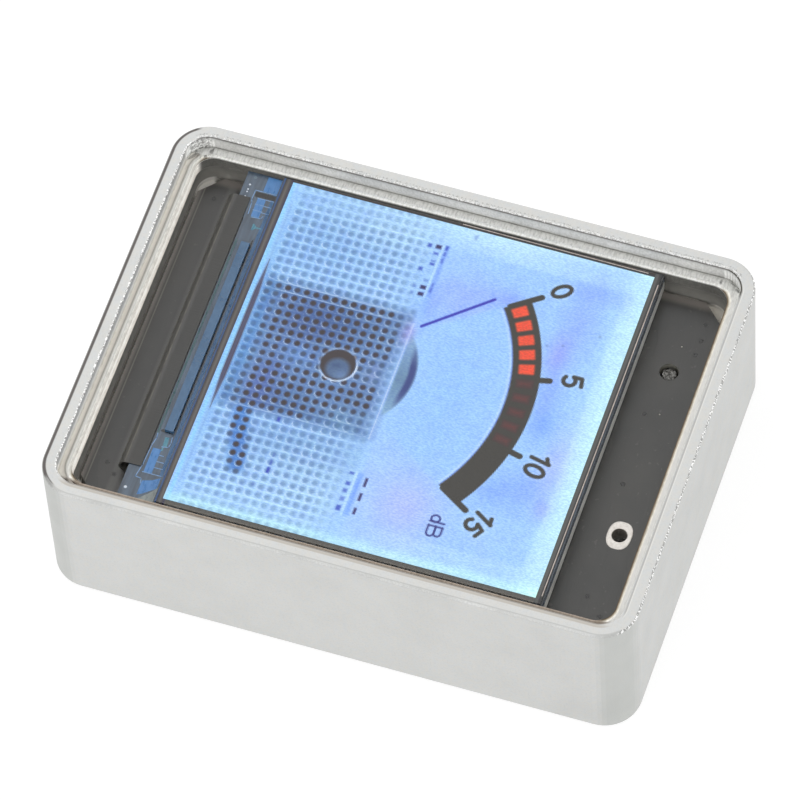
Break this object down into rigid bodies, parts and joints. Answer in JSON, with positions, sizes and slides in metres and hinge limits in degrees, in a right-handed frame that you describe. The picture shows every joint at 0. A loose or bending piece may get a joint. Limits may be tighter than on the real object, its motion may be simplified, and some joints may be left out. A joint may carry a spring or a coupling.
{
  "type": "level meter",
  "caption": "Pocket level meter: milled aluminium case, clear window over a square display that shows a pointer dial, black board, screwed back cover, power inlet and one push button.",
  "frame": {"origin": "centre of the flat back, on the surface that the meter lies on", "axes": "+X to the right across the dial, +Y up the dial along the case's long side, +Z out of the dial's face"},
  "size_m": [0.0333, 0.0442, 0.0128],
  "materials": {
    "case_aluminium": "fine bead-blasted and clear anodised",
    "cover_aluminium": "fine bead-blasted and clear anodised",
    "cap_aluminium": "turned and blasted",
    "screw_steel": "turned, plain",
    "window_clear": "clear and polished",
    "adhesive_clear": "clear adhesive",
    "foam_black": "matt foam tape",
    "solder_mask_black": "black solder mask, smooth",
    "tin_plating": "tinned",
    "can_metal": "pressed can",
    "frame_white": "moulded white plastic",
    "reflector_silver": "silver sheet",
    "guide_clear": "moulded acrylic",
    "film_white": "diffusing film",
    "diode_yellow": "phosphor filled",
    "polariser_dark": "polarising film",
    "cell_glass": "thin display glass",
    "screen_face": "lit picture of a pointer dial",
    "driver_silicon": "bare polished silicon",
    "flex_black": "black coverlay",
    "chip_black": "moulded epoxy",
    "ceramic_tan": "ceramic with tinned ends",
    "resistor_black": "glazed film with tinned ends",
    "shell_steel": "pressed and plated",
    "tongue_black": "moulded",
    "contact_gold": "gold flashed",
    "switch_black": "moulded",
    "dome_steel": "sprung dome",
    "plunger_cream": "moulded"
  },
  "bodies": {
    "housing": {"case": "case_aluminium", "back_cover": "cover_aluminium", "cover_screws": "screw_steel", "window_pane": "window_clear", "window_adhesive": "adhesive_clear", "board_pads": "foam_black", "main_board": "solder_mask_black", "sound_hole_plating": "tin_plating", "microphone": "can_metal", "display_tape": "foam_black", "backlight_frame": "frame_white", "reflector_sheet": "reflector_silver", "light_guide": "guide_clear", "optical_films": "film_white", "backlight_leds": "diode_yellow", "rear_polariser": "polariser_dark", "rear_glass": "cell_glass", "front_glass": "cell_glass", "front_polariser": "screen_face", "driver_chip": "driver_silicon", "display_flex": "flex_black", "controller_chip": "chip_black", "memory_chip": "chip_black", "crystal": "can_metal", "voltage_regulator": "chip_black", "backlight_transistor": "chip_black", "capacitors": "ceramic_tan", "resistors": "resistor_black", "usb_shell": "shell_steel", "usb_tongue": "tongue_black", "usb_contacts": "contact_gold", "switch_housing": "switch_black", "switch_dome": "dome_steel"},
    "button": {"button_cap": "cap_aluminium", "switch_plunger": "plunger_cream"}
  },
  "joints": [
    {"name": "button_press", "type": "slide", "parent": "housing", "child": "button", "axis": [1, 0, 0], "range_m": [0, 0.00025], "stiffness_N_per_m": 4000, "springref_m": -0.0002}
  ]
}
